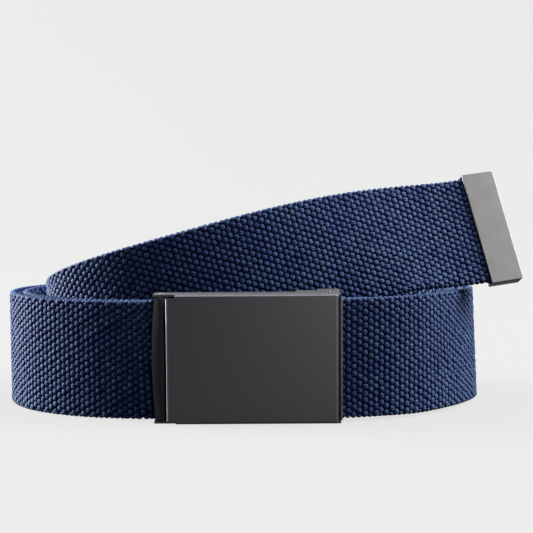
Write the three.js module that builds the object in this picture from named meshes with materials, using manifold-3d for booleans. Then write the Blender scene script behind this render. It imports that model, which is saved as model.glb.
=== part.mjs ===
// An elastic web belt, coiled and standing on its edge, with a stamped box buckle and a metal end tip.
// Lengths are millimetres and angles degrees. +Z is up, the buckle's plate faces -Y, +X is to its right.

import * as THREE from 'three';
import { mergeVertices } from 'three/addons/utils/BufferGeometryUtils.js';
import Module from 'manifold-3d';

const wasm = await Module();
wasm.setup();

// Webbing
const WEBBING_WIDTH = 40;
const WEBBING_THICKNESS = 2.5;
const SELVEDGE_FLAT = 1.2;          // width of the flat along each edge
const SELVEDGE_BEVEL = 0.9;         // how far the rounding reaches in from each edge
const SECTION_STEP = 5;             // spacing of the strap's sections along its length
const ROUTE_SAMPLES = 6000;

// Buckle shell, one stamped sheet
const PLATE_LEFT = -33;
const PLATE_RIGHT = 23.2;
const BUCKLE_HEIGHT = 42.5;
const BUCKLE_DEPTH = 11;
const SHEET = 0.7;
const BEND_RADIUS = 0.9;
const EAR_LEFT = 4.2;               // how far the flanges run past the plate on the left
const EAR_RIGHT = 1;
const EAR_FRONT = 2.2;              // the ears start this far behind the plate's face
const LOWER_EAR_DEPTH = 6.4;        // the lower left ear is narrow, to let the strap sit low
const NOTCH_LENGTH = 3;             // relief cut in the bend at each left corner
const NOTCH_HEIGHT = 1.1;

// Locking jaw
const JAW_AXIS = { x: -34.4, y: 4.4 };
const JAW_RADIUS_MIDDLE = 3.6;
const JAW_RADIUS_END = 2.7;
const JAW_TOOTH = { angle: 52, radius: 2.85 };
const JAW_END_CLEARANCE = 0.4;
const JAW_FACE = { from: 283, to: 175, steps: 9 };  // angles round the axis that the curved face covers
const JAW_LEVELS = 10;
const TOOTH_PITCH = 2;
const TOOTH_NOTCH = 1.1;            // side of the square notch between two teeth

// Pins
const PIN_RADIUS = 0.7;
const PIN_CLEARANCE = 0.3;
const PIN_PROUD = 0.55;             // a pin's domed end stands this far above the flange
const PIN_DOME = 0.4;
const PIN_BOTTOM = 0.2;
const CLAMP_PIN_AXIS = { x: 20.5, y: 6 };

// Bar behind the threaded strap
const BAR_CENTRE_X = -30.6;
const BAR_WIDTH = 4.4;
const BAR_THICKNESS = 0.9;
const BAR_FRONT = 9.85;

// Clamp on the strap's fixed end
const CLAMP_SHEET = 0.45;
const CLAMP_LEFT = 7.8;
const CLAMP_RIGHT = 24.7;
const CLAMP_REAR_RIGHT = 22.3;
const CLAMP_FRONT = 1;
const CLAMP_REAR = 5;
const CLAMP_FOLD_RADIUS = 0.6;

// End tip
const TIP_LENGTH = 12;
const TIP_HEIGHT = 42;
const TIP_THICKNESS = 4.2;
const TIP_SLOT_DEPTH = 10.8;
const TIP_CORNER_RADIUS = 1.2;
const TIP_EDGE_ROUND = 0.35;
const STRAP_IN_TIP = 10.4;

const GAP = 0.3;                    // between neighbouring pieces
const OVERLAP = 0.1;                // how far joined solids run into each other
const PAST = 1;                     // how far a cutter runs past what it cuts

// Rows of numbers as objects with named fields
const table = (columns, rows) =>
  rows.map((row) => Object.fromEntries(columns.map((column, i) => [column, row[i]])));

// The strap's outermost turn, from its fixed end in the buckle, once round against the clock seen from above,
// and back into the buckle. mid is the height of the strap's middle and lean tips its top edge inwards.
// second and third are the distances in to the turns that lie inside it.
const OUTER_TURN = table(
  ['x', 'y', 'mid', 'lean', 'second', 'secondMid', 'third'],
  [
    [9.5, 3.1, 21.2, 0, 0, 0, 0],
    [23, 3.1, 21.2, 0, 5.3, 21.1, 10.5],
    [38, 6.4, 21.2, 0, 4.4, 20.5, 8.6],
    [56, 17.3, 21.1, 2, 3.4, 20, 6.7],
    [72.8, 42, 20.6, 3.5, 3.2, 20, 6.4],
    [74.6, 57, 20.1, 1, 3.2, 20, 6.4],
    [69.5, 72, 20, 0, 3.2, 20, 6.4],
    [43.8, 90.5, 20, 0, 3.2, 20, 6.4],
    [-2, 95.4, 20, 0, 3.2, 20, 6.5],
    [-40, 92.2, 20, 0, 3.3, 20, 0],
    [-74, 80.6, 20, 0, 3.8, 20, 0],
    [-90, 62.5, 20, 0, 4.5, 20, 0],
    [-91.9, 47.5, 20, 0, 4.6, 20, 0],
    [-87.3, 34.5, 20, 0, 4.6, 20, 0],
    [-77, 22.5, 20, 0, 4.4, 20, 0],
    [-58.5, 12.8, 20, 0, 4.0, 20, 0],
    [-47, 10.2, 20.05, 0, 4.1, 20, 0],
    [-39, 8.8, 20.2, 0, 4.4, 20, 0],
    [-33, 8.3, 20.95, 0, 4.6, 20, 0],
    [-22, 8.2, 21, 0, 4.8, 20, 0],
    [8, 8.2, 21, 0, 5.3, 20, 0],
  ],
);
const THIRD_TURN_FIRST_ROW = 1;
const THIRD_TURN_LAST_ROW = 8;

// The free end: it climbs off the rear of the third turn, bends round on the left and rises across the coil.
const FREE_END = table(
  ['x', 'y', 'mid', 'lean'],
  [
    [-40, 85.2, 20.3, 0],
    [-59, 77.9, 20.6, 0],
    [-72, 67.4, 21.1, 0],
    [-78, 52.2, 22.4, -1],
    [-74.4, 34.8, 26.2, 0.5],
    [-58, 21, 33.1, 0],
    [-31, 16.2, 41.3, 0.6],
    [-1, 19.6, 49.2, 6.5],
    [25, 27, 55, 18],
    [47, 33.8, 58.7, 27],
    [62, 38.2, 59.7, 26],
    [74.3, 41.2, 61, 25],
  ],
);

const COLOURS = {
  webbing: new THREE.Color(0x1b2a55),
  gunmetal: new THREE.Color(0x3a3a3d),
  darkSteel: new THREE.Color(0x1d1d20),
  steel: new THREE.Color(0x9a9a9c),
};

const material = (color, roughness, metalness) =>
  new THREE.MeshStandardMaterial({ color, roughness, metalness });

function namedMesh(name, geometry, finish) {
  const mesh = new THREE.Mesh(geometry, finish);
  mesh.name = name;
  return mesh;
}

const positionsOnly = (geometry) => {
  const plain = geometry.index ? geometry.toNonIndexed() : geometry.clone();
  for (const name of ['normal', 'uv']) plain.deleteAttribute(name);
  return mergeVertices(plain, 1e-5);
};

function solidOf(geometry) {
  const merged = positionsOnly(geometry);
  const vertProperties = new Float32Array(merged.attributes.position.array);
  const triVerts = new Uint32Array(merged.index.array);
  return new wasm.Manifold(new wasm.Mesh({ numProp: 3, vertProperties, triVerts }));
}

function geometryOf(solid) {
  const mesh = solid.getMesh();
  const geometry = new THREE.BufferGeometry();
  geometry.setAttribute('position', new THREE.BufferAttribute(new Float32Array(mesh.vertProperties), 3));
  geometry.setIndex(new THREE.BufferAttribute(new Uint32Array(mesh.triVerts), 1));
  return geometry;
}

const box = (x0, x1, y0, y1, z0, z1) =>
  new THREE.BoxGeometry(x1 - x0, y1 - y0, z1 - z0).translate((x0 + x1) / 2, (y0 + y1) / 2, (z0 + z1) / 2);

const uprightCylinder = (axis, radius, z0, z1, sides = 16) =>
  new THREE.CylinderGeometry(radius, radius, z1 - z0, sides)
    .rotateX(Math.PI / 2)
    .translate(axis.x, axis.y, (z0 + z1) / 2);

const extrude = (outline, depth) =>
  new THREE.ExtrudeGeometry(outline, { depth, bevelEnabled: false, curveSegments: 5 });

const extrudeUp = (outline, z0, z1) => extrude(outline, z1 - z0).translate(0, 0, z0);

// An outline drawn in Y and Z, run along X
const X = new THREE.Vector3(1, 0, 0);
const Y = new THREE.Vector3(0, 1, 0);
const UP = new THREE.Vector3(0, 0, 1);
const YZ_TO_X = new THREE.Matrix4().makeBasis(Y, UP, X);
const extrudeRight = (outline, x0, x1) => extrude(outline, x1 - x0).applyMatrix4(YZ_TO_X).translate(x0, 0, 0);

// A smooth curve through rows of numbers whose first two columns are x and y. It is a natural cubic spline,
// and its parameter grows with the square root of the plan distance between rows.
function splineThrough(rows) {
  const count = rows.length;
  const knots = [0];
  for (let i = 1; i < count; i++) {
    const distance = Math.hypot(rows[i][0] - rows[i - 1][0], rows[i][1] - rows[i - 1][1]);
    knots.push(knots[i - 1] + Math.sqrt(distance));
  }
  const bends = rows[0].map((_, column) => {
    const diagonal = new Array(count).fill(1);
    const right = new Array(count).fill(0);
    const bend = new Array(count).fill(0);
    for (let i = 1; i < count - 1; i++) {
      const before = knots[i] - knots[i - 1];
      const after = knots[i + 1] - knots[i];
      const slopeBefore = (rows[i][column] - rows[i - 1][column]) / before;
      const slopeAfter = (rows[i + 1][column] - rows[i][column]) / after;
      const factor = i === 1 ? 0 : before / diagonal[i - 1];
      diagonal[i] = 2 * (before + after) - factor * before;
      right[i] = 6 * (slopeAfter - slopeBefore) - factor * right[i - 1];
    }
    for (let i = count - 2; i > 0; i--) {
      bend[i] = (right[i] - (knots[i + 1] - knots[i]) * bend[i + 1]) / diagonal[i];
    }
    return bend;
  });
  const at = (parameter) => {
    let i = 0;
    while (i < count - 2 && parameter > knots[i + 1]) i++;
    const span = knots[i + 1] - knots[i];
    const a = knots[i + 1] - parameter;
    const b = parameter - knots[i];
    return rows[i].map((_, column) => {
      const bend = bends[column];
      const cubic = (bend[i] * a ** 3 + bend[i + 1] * b ** 3) / (6 * span);
      const from = (rows[i][column] / span - (bend[i] * span) / 6) * a;
      const to = (rows[i + 1][column] / span - (bend[i + 1] * span) / 6) * b;
      return cubic + from + to;
    });
  };
  return { knots, at };
}

// Rows of x, y, mid and lean for the whole strap, from its fixed end to the mouth of the tip
function strapRows() {
  const outer = OUTER_TURN.map((row) => [row.x, row.y, row.mid, row.lean]);
  const { knots, at } = splineThrough(outer);
  const nearby = 1e-3;
  const inwards = knots.map((knot) => {
    const before = at(Math.max(knot - nearby, 0));
    const after = at(Math.min(knot + nearby, knots.at(-1)));
    const along = new THREE.Vector2(after[0] - before[0], after[1] - before[1]).normalize();
    return new THREE.Vector2(-along.y, along.x);
  });
  const insetRow = (i, inset, mid) => [
    OUTER_TURN[i].x + inwards[i].x * inset,
    OUTER_TURN[i].y + inwards[i].y * inset,
    mid,
    OUTER_TURN[i].lean,
  ];
  const second = OUTER_TURN.map((row, i) => insetRow(i, row.second, row.secondMid)).slice(1);
  const third = OUTER_TURN.map((row, i) => insetRow(i, row.third, WEBBING_WIDTH / 2));
  return [
    ...outer,
    ...second,
    ...third.slice(THIRD_TURN_FIRST_ROW, THIRD_TURN_LAST_ROW + 1),
    ...FREE_END.map((row) => [row.x, row.y, row.mid, row.lean]),
  ];
}

// Sections along the strap. Each has its centre, the way along, the way across the width and the way out.
function strapSections() {
  const { knots, at } = splineThrough(strapRows());
  const points = [];
  for (let i = 0; i <= ROUTE_SAMPLES; i++) {
    const [x, y, mid, lean] = at((knots.at(-1) * i) / ROUTE_SAMPLES);
    points.push({ centre: new THREE.Vector3(x, y, Math.max(mid, WEBBING_WIDTH / 2)), lean });
  }
  const lengths = [0];
  for (let i = 1; i < points.length; i++) {
    lengths.push(lengths[i - 1] + points[i].centre.distanceTo(points[i - 1].centre));
  }
  const sectionAt = (i) => {
    const before = points[Math.max(i - 1, 0)].centre;
    const after = points[Math.min(i + 1, points.length - 1)].centre;
    const along = after.clone().sub(before).normalize();
    const side = along.clone().cross(UP).normalize();
    const lean = THREE.MathUtils.degToRad(points[i].lean);
    const upright = side.clone().cross(along);
    const across = upright.multiplyScalar(Math.cos(lean)).addScaledVector(side, -Math.sin(lean));
    return { centre: points[i].centre, along, across, out: along.clone().cross(across) };
  };
  const count = Math.round(lengths.at(-1) / SECTION_STEP);
  const sections = [];
  let sample = 0;
  for (let i = 0; i <= count; i++) {
    const wanted = (lengths.at(-1) * i) / count;
    while (sample < points.length - 1 && lengths[sample] < wanted) sample++;
    sections.push(sectionAt(sample));
  }
  return sections;
}

// A closed ribbon through the sections, with bevelled edges
function ribbonGeometry(sections) {
  const halfThickness = WEBBING_THICKNESS / 2;
  const halfWidth = WEBBING_WIDTH / 2;
  const halfFlat = SELVEDGE_FLAT / 2;
  const shoulder = halfWidth - SELVEDGE_BEVEL;
  const outline = [
    [halfFlat, -halfWidth],
    [halfThickness, -shoulder],
    [halfThickness, shoulder],
    [halfFlat, halfWidth],
    [-halfFlat, halfWidth],
    [-halfThickness, shoulder],
    [-halfThickness, -shoulder],
    [-halfFlat, -halfWidth],
  ];
  const sides = outline.length;
  const positions = [];
  for (const { centre, across, out } of sections) {
    for (const [thickness, width] of outline) {
      const corner = centre.clone().addScaledVector(out, thickness).addScaledVector(across, width);
      positions.push(corner.x, corner.y, corner.z);
    }
  }
  const triangles = [];
  for (let i = 0; i < sections.length - 1; i++) {
    for (let j = 0; j < sides; j++) {
      const here = i * sides + j;
      const next = i * sides + ((j + 1) % sides);
      triangles.push(here, here + sides, next, next, here + sides, next + sides);
    }
  }
  const last = (sections.length - 1) * sides;
  for (let j = 1; j < sides - 1; j++) {
    triangles.push(0, j, j + 1);
    triangles.push(last, last + j + 1, last + j);
  }
  const geometry = new THREE.BufferGeometry();
  geometry.setAttribute('position', new THREE.Float32BufferAttribute(positions, 3));
  geometry.setIndex(triangles);
  return geometry;
}

function webbing(sections) {
  const mouth = sections.at(-1);
  const inTip = { ...mouth, centre: mouth.centre.clone().addScaledVector(mouth.along, STRAP_IN_TIP) };
  return namedMesh('webbing', ribbonGeometry([...sections, inTip]), material(COLOURS.webbing, 0.9, 0));
}

// The shell's section in Y and Z: a front plate with a flange folded back at the top and the bottom
function shellOutline() {
  const inner = BEND_RADIUS - SHEET;
  const top = BUCKLE_HEIGHT;
  const outline = new THREE.Shape();
  outline.moveTo(BUCKLE_DEPTH, 0);
  outline.lineTo(BUCKLE_DEPTH, SHEET);
  outline.lineTo(BEND_RADIUS, SHEET);
  outline.absarc(BEND_RADIUS, BEND_RADIUS, inner, -Math.PI / 2, Math.PI, true);
  outline.lineTo(SHEET, top - BEND_RADIUS);
  outline.absarc(BEND_RADIUS, top - BEND_RADIUS, inner, Math.PI, Math.PI / 2, true);
  outline.lineTo(BUCKLE_DEPTH, top - SHEET);
  outline.lineTo(BUCKLE_DEPTH, top);
  outline.lineTo(BEND_RADIUS, top);
  outline.absarc(BEND_RADIUS, top - BEND_RADIUS, BEND_RADIUS, Math.PI / 2, Math.PI, false);
  outline.lineTo(0, BEND_RADIUS);
  outline.absarc(BEND_RADIUS, BEND_RADIUS, BEND_RADIUS, Math.PI, (3 * Math.PI) / 2, false);
  outline.closePath();
  return outline;
}

// The top flange's rear edge is bent up in two steps over the clamp pin
const FLARES = table(
  ['from', 'to', 'start', 'depth', 'rise'],
  [
    [9.6, 16.8, 6.5, 11.4, 0.4],
    [16.8, PLATE_RIGHT + EAR_RIGHT, 7.2, 11.8, 0.8],
  ],
);

function flareGeometry({ from, to, start, depth, rise }) {
  const top = BUCKLE_HEIGHT;
  const root = start - OVERLAP;
  const outline = new THREE.Shape([
    new THREE.Vector2(root, top - SHEET),
    new THREE.Vector2(start, top - SHEET),
    new THREE.Vector2(depth, top - SHEET + rise),
    new THREE.Vector2(depth, top + rise),
    new THREE.Vector2(start, top),
    new THREE.Vector2(root, top),
  ]);
  return extrudeRight(outline, from, to);
}

function buckleShell() {
  const below = -PAST;
  const above = BUCKLE_HEIGHT + PAST;
  const left = PLATE_LEFT - EAR_LEFT;
  const right = PLATE_RIGHT + EAR_RIGHT;
  const rear = BUCKLE_DEPTH + PAST;
  let shell = solidOf(extrudeRight(shellOutline(), left, right));
  for (const flare of FLARES) {
    const flat = box(flare.from, flare.to + PAST, flare.start, rear, BUCKLE_HEIGHT - SHEET - OVERLAP, above);
    shell = shell.subtract(solidOf(flat)).add(solidOf(flareGeometry(flare)));
  }
  const notchLeft = PLATE_LEFT - OVERLAP;
  const notchRight = PLATE_LEFT + NOTCH_LENGTH;
  const holeRadius = PIN_RADIUS + PIN_CLEARANCE;
  const cuts = [
    box(left - PAST, PLATE_LEFT, -PAST, EAR_FRONT, below, above),
    box(PLATE_RIGHT, right + PAST, -PAST, BEND_RADIUS, below, above),
    box(notchLeft, notchRight, -PAST, EAR_FRONT, BUCKLE_HEIGHT - NOTCH_HEIGHT, above),
    box(notchLeft, notchRight, -PAST, EAR_FRONT, below, NOTCH_HEIGHT),
    box(left - PAST, PLATE_LEFT, LOWER_EAR_DEPTH, rear, below, SHEET + PAST),
    uprightCylinder(JAW_AXIS, holeRadius, below, above),
    uprightCylinder(CLAMP_PIN_AXIS, holeRadius, below, above),
  ];
  for (const cut of cuts) shell = shell.subtract(solidOf(cut));
  return namedMesh('buckle_shell', geometryOf(shell), material(COLOURS.gunmetal, 0.42, 0.85));
}

// A turned pin with a domed top
function pin(name, axis) {
  const top = BUCKLE_HEIGHT + PIN_PROUD;
  const shoulder = 0.75;
  const profile = [
    new THREE.Vector2(0, PIN_BOTTOM),
    new THREE.Vector2(PIN_RADIUS, PIN_BOTTOM),
    new THREE.Vector2(PIN_RADIUS, top - PIN_DOME),
    new THREE.Vector2(PIN_RADIUS * shoulder, top - PIN_DOME * (1 - shoulder)),
    new THREE.Vector2(0, top),
  ];
  const geometry = new THREE.LatheGeometry(profile, 14).rotateX(Math.PI / 2).translate(axis.x, axis.y, 0);
  return namedMesh(name, geometry, material(COLOURS.steel, 0.35, 0.9));
}

// The jaw's side towards the strap: a boss round the pin with one ridge of teeth
const JAW_BACK = table(
  ['angle', 'radius'],
  [
    [140, 1.9],
    [100, 1.9],
    [72, 2],
    [JAW_TOOTH.angle, JAW_TOOTH.radius],
    [32, 2],
    [0, 1.9],
    [-35, 1.9],
  ],
);

const roundJawAxis = ({ angle, radius }) => {
  const turn = THREE.MathUtils.degToRad(angle);
  return { x: JAW_AXIS.x + radius * Math.cos(turn), y: JAW_AXIS.y + radius * Math.sin(turn) };
};

// The jaw's outline round its axis. Its curved face bulges most at mid height.
function jawOutline(faceRadius) {
  const face = [];
  for (let i = 0; i <= JAW_FACE.steps; i++) {
    const angle = JAW_FACE.from + ((JAW_FACE.to - JAW_FACE.from) * i) / JAW_FACE.steps;
    face.push({ angle, radius: faceRadius });
  }
  return [...face, ...JAW_BACK].map(roundJawAxis);
}

function jawBlank(bottom, top) {
  const positions = [];
  const sides = JAW_FACE.steps + 1 + JAW_BACK.length;
  for (let level = 0; level <= JAW_LEVELS; level++) {
    const share = level / JAW_LEVELS;
    const bulge = Math.sin(Math.PI * share);
    const outline = jawOutline(JAW_RADIUS_END + (JAW_RADIUS_MIDDLE - JAW_RADIUS_END) * bulge).reverse();
    for (const { x, y } of outline) positions.push(x, y, bottom + (top - bottom) * share);
  }
  const triangles = [];
  for (let level = 0; level < JAW_LEVELS; level++) {
    for (let j = 0; j < sides; j++) {
      const here = level * sides + j;
      const next = level * sides + ((j + 1) % sides);
      triangles.push(here, next, here + sides, next, next + sides, here + sides);
    }
  }
  const centres = positions.length / 3;
  positions.push(JAW_AXIS.x, JAW_AXIS.y, bottom, JAW_AXIS.x, JAW_AXIS.y, top);
  for (let j = 0; j < sides; j++) {
    const next = (j + 1) % sides;
    triangles.push(centres, next, j);
    triangles.push(centres + 1, JAW_LEVELS * sides + j, JAW_LEVELS * sides + next);
  }
  const geometry = new THREE.BufferGeometry();
  geometry.setAttribute('position', new THREE.Float32BufferAttribute(positions, 3));
  geometry.setIndex(triangles);
  return geometry;
}

function lockingJaw() {
  const bottom = SHEET + JAW_END_CLEARANCE;
  const top = BUCKLE_HEIGHT - SHEET - JAW_END_CLEARANCE;
  let jaw = solidOf(jawBlank(bottom, top));
  const hole = uprightCylinder(JAW_AXIS, PIN_RADIUS + PIN_CLEARANCE, bottom - PAST, top + PAST);
  jaw = jaw.subtract(solidOf(hole));
  const tip = roundJawAxis(JAW_TOOTH);
  const notches = Math.floor((top - bottom) / TOOTH_PITCH);
  for (let i = 1; i < notches; i++) {
    const notch = new THREE.BoxGeometry(TOOTH_NOTCH, JAW_TOOTH.radius, TOOTH_NOTCH)
      .rotateY(Math.PI / 4)
      .rotateZ(THREE.MathUtils.degToRad(JAW_TOOTH.angle))
      .translate(tip.x, tip.y, bottom + i * TOOTH_PITCH);
    jaw = jaw.subtract(solidOf(notch));
  }
  return namedMesh('locking_jaw', geometryOf(jaw), material(COLOURS.darkSteel, 0.35, 0.8));
}

function backBar() {
  const bottom = SHEET + GAP;
  const top = BUCKLE_HEIGHT - SHEET - GAP;
  const bar = box(
    BAR_CENTRE_X - BAR_WIDTH / 2,
    BAR_CENTRE_X + BAR_WIDTH / 2,
    BAR_FRONT,
    BAR_FRONT + BAR_THICKNESS,
    bottom,
    top,
  );
  return namedMesh('back_bar', bar, material(COLOURS.darkSteel, 0.45, 0.8));
}

// A sheet folded round the strap's cut end: a rear leaf, and a longer front leaf whose end shows past the plate
function endClamp() {
  const outer = CLAMP_FOLD_RADIUS;
  const inner = CLAMP_FOLD_RADIUS - CLAMP_SHEET;
  const outline = new THREE.Shape();
  outline.moveTo(CLAMP_RIGHT, CLAMP_FRONT);
  outline.lineTo(CLAMP_RIGHT, CLAMP_FRONT + CLAMP_SHEET);
  outline.lineTo(CLAMP_LEFT + outer, CLAMP_FRONT + CLAMP_SHEET);
  outline.absarc(CLAMP_LEFT + outer, CLAMP_FRONT + outer, inner, -Math.PI / 2, Math.PI, true);
  outline.lineTo(CLAMP_LEFT + CLAMP_SHEET, CLAMP_REAR - outer);
  outline.absarc(CLAMP_LEFT + outer, CLAMP_REAR - outer, inner, Math.PI, Math.PI / 2, true);
  outline.lineTo(CLAMP_REAR_RIGHT, CLAMP_REAR - CLAMP_SHEET);
  outline.lineTo(CLAMP_REAR_RIGHT, CLAMP_REAR);
  outline.lineTo(CLAMP_LEFT + outer, CLAMP_REAR);
  outline.absarc(CLAMP_LEFT + outer, CLAMP_REAR - outer, outer, Math.PI / 2, Math.PI, false);
  outline.lineTo(CLAMP_LEFT, CLAMP_FRONT + outer);
  outline.absarc(CLAMP_LEFT + outer, CLAMP_FRONT + outer, outer, Math.PI, (3 * Math.PI) / 2, false);
  outline.closePath();
  const clamp = extrudeUp(outline, SHEET + GAP, BUCKLE_HEIGHT - SHEET - GAP);
  return namedMesh('end_clamp', clamp, material(COLOURS.steel, 0.4, 0.85));
}

// A cap with rounded corners and a slot for the strap's end, built along X with its width along Z
function tipGeometry() {
  const length = TIP_LENGTH - 2 * TIP_EDGE_ROUND;
  const height = TIP_HEIGHT - 2 * TIP_EDGE_ROUND;
  const radius = TIP_CORNER_RADIUS - TIP_EDGE_ROUND;
  const left = TIP_EDGE_ROUND;
  const right = left + length;
  const low = -height / 2;
  const high = height / 2;
  const outline = new THREE.Shape();
  outline.moveTo(left, low);
  outline.lineTo(right - radius, low);
  outline.absarc(right - radius, low + radius, radius, -Math.PI / 2, 0, false);
  outline.lineTo(right, high - radius);
  outline.absarc(right - radius, high - radius, radius, 0, Math.PI / 2, false);
  outline.lineTo(left, high);
  outline.closePath();
  const blank = new THREE.ExtrudeGeometry(outline, {
    depth: TIP_THICKNESS - 2 * TIP_EDGE_ROUND,
    bevelThickness: TIP_EDGE_ROUND,
    bevelSize: TIP_EDGE_ROUND,
    bevelSegments: 2,
    curveSegments: 4,
  })
    .translate(0, 0, -TIP_THICKNESS / 2 + TIP_EDGE_ROUND)
    .rotateX(Math.PI / 2);
  const halfSlot = WEBBING_THICKNESS / 2 + GAP;
  const halfWidth = WEBBING_WIDTH / 2 + GAP;
  const slot = box(-PAST, TIP_SLOT_DEPTH, -halfSlot, halfSlot, -halfWidth, halfWidth);
  return geometryOf(solidOf(blank).subtract(solidOf(slot)));
}

function beltTip(mouth) {
  const inwards = mouth.out.clone().negate();
  const tip = namedMesh('belt_tip', tipGeometry(), material(COLOURS.steel, 0.4, 0.9));
  tip.quaternion.setFromRotationMatrix(new THREE.Matrix4().makeBasis(mouth.along, inwards, mouth.across));
  tip.position.copy(mouth.centre);
  return tip;
}

const sections = strapSections();
const buckle = new THREE.Group();
buckle.add(
  buckleShell(),
  lockingJaw(),
  pin('jaw_pin', JAW_AXIS),
  backBar(),
  endClamp(),
  pin('clamp_pin', CLAMP_PIN_AXIS),
);
const belt = new THREE.Group();
belt.add(webbing(sections), beltTip(sections.at(-1)), buckle);

// The origin is at the middle of the belt's footprint
const extent = new THREE.Box3().setFromObject(belt, true);
const middle = extent.getCenter(new THREE.Vector3());
belt.position.set(-middle.x, -middle.y, -extent.min.z);

export default belt;
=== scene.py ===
# %% [markdown]
# # An elastic web belt with a box buckle
# The belt is one strap of coarse woven elastic, 40 mm wide. It stands on its edge, wound into an oval coil,
# and runs through a stamped metal box buckle. The strap's free end climbs over the coil to a metal tip.
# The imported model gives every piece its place. This script gives each piece its finish.

import math
from collections import namedtuple

import bmesh
import bpy
import numpy as np
from mathutils import Matrix, Vector


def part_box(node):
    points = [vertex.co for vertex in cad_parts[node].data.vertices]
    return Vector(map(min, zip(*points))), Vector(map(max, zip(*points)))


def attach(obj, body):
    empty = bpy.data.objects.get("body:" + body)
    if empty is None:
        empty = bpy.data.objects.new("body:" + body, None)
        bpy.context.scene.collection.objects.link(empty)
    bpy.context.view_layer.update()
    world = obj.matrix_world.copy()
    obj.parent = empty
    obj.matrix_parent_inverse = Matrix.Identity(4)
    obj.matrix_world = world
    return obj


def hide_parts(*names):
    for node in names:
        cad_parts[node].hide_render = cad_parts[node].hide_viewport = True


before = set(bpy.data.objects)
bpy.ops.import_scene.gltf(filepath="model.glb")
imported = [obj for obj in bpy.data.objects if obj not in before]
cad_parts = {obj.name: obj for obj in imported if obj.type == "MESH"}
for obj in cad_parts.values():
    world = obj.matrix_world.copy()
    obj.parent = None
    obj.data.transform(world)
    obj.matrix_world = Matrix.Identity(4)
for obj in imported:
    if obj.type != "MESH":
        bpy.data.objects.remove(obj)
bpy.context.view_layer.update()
MM = 0.001

# %% [markdown]
# ## The drawing
# The strap's route and the camera were drawn in millimetres, with x = 0 in the middle of the picture,
# y = 0 on the buckle's front face and z = 0 on the floor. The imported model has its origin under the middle
# of the belt. The shell's box ties the two together, so no number has to be fitted by eye.

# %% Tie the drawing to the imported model
SHELL_LEFT = -37.2
shell_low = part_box("buckle_shell")[0]
drawing_origin = Vector((shell_low.x - SHELL_LEFT * MM, shell_low.y, 0))


def place(x, y, z):
    """A point of the drawing, in mm, as a point of the model, in metres."""
    return drawing_origin + Vector((x, y, z)) * MM


print("drawing origin in mm:", [round(part / MM, 2) for part in drawing_origin])

# %% [markdown]
# ## Camera
# The picture was taken from a little above the buckle with a long lens. The place, the tilt and the lens
# were worked out from the buckle's plate, whose size is known, and from the belt's outline.

# %% Camera
CAMERA_BACK = 400
CAMERA_HEIGHT = 82.97
CAMERA_DOWN = math.radians(4.46)
CAMERA_ROLL = math.radians(0.35)
FOCAL_PIXELS = 1239.3
PICTURE_PIXELS = 533
SENSOR_WIDTH = 36
NEAREST_SEEN = 10
FARTHEST_SEEN = 50000


def link(thing):
    """Puts an object into the scene and hands it back."""
    bpy.context.scene.collection.objects.link(thing)
    return thing


camera_data = bpy.data.cameras.new("camera")
camera_data.sensor_width = SENSOR_WIDTH
camera_data.lens = SENSOR_WIDTH * FOCAL_PIXELS / PICTURE_PIXELS
camera_data.clip_start = NEAREST_SEEN * MM
camera_data.clip_end = FARTHEST_SEEN * MM
camera = link(bpy.data.objects.new("camera", camera_data))
camera.matrix_world = (
    Matrix.Translation(place(0, -CAMERA_BACK, CAMERA_HEIGHT))
    @ Matrix.Rotation(math.pi / 2 - CAMERA_DOWN, 4, "X")
    @ Matrix.Rotation(-CAMERA_ROLL, 4, "Z")
)
bpy.context.scene.camera = camera
print("lens in mm:", round(camera_data.lens, 1))

# %% [markdown]
# ## The strap's route
# The belt goes round twice and a half, each turn inside the one before. The outermost turn is drawn as a
# short table. Its columns `second` and `third` say how far inwards the later turns lie from the same rows,
# so they need no tables of their own. The free end has one, because it climbs and leans back. `mid` is the
# height of the strap's middle, and `lean` tips its top edge inwards.

# %% Tables of the route, in mm and degrees
OuterRow = namedtuple("OuterRow", "x y mid lean second second_mid third")
FreeRow = namedtuple("FreeRow", "x y mid lean")

OUTER_TURN = [
    OuterRow(9.5, 3.1, 21.2, 0, 0, 0, 0),
    OuterRow(23, 3.1, 21.2, 0, 5.3, 21.1, 10.5),
    OuterRow(38, 6.4, 21.2, 0, 4.4, 20.5, 8.6),
    OuterRow(56, 17.3, 21.1, 2, 3.4, 20, 6.7),
    OuterRow(72.8, 42, 20.6, 3.5, 3.2, 20, 6.4),
    OuterRow(74.6, 57, 20.1, 1, 3.2, 20, 6.4),
    OuterRow(69.5, 72, 20, 0, 3.2, 20, 6.4),
    OuterRow(43.8, 90.5, 20, 0, 3.2, 20, 6.4),
    OuterRow(-2, 95.4, 20, 0, 3.2, 20, 6.5),
    OuterRow(-40, 92.2, 20, 0, 3.3, 20, 0),
    OuterRow(-74, 80.6, 20, 0, 3.8, 20, 0),
    OuterRow(-90, 62.5, 20, 0, 4.5, 20, 0),
    OuterRow(-91.9, 47.5, 20, 0, 4.6, 20, 0),
    OuterRow(-87.3, 34.5, 20, 0, 4.6, 20, 0),
    OuterRow(-77, 22.5, 20, 0, 4.4, 20, 0),
    OuterRow(-58.5, 12.8, 20, 0, 4.0, 20, 0),
    OuterRow(-47, 10.2, 20.05, 0, 4.1, 20, 0),
    OuterRow(-39, 8.8, 20.2, 0, 4.4, 20, 0),
    OuterRow(-33, 8.3, 20.95, 0, 4.6, 20, 0),
    OuterRow(-22, 8.2, 21, 0, 4.8, 20, 0),
    OuterRow(8, 8.2, 21, 0, 5.3, 20, 0),
]
THIRD_TURN_ROWS = 8

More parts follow.
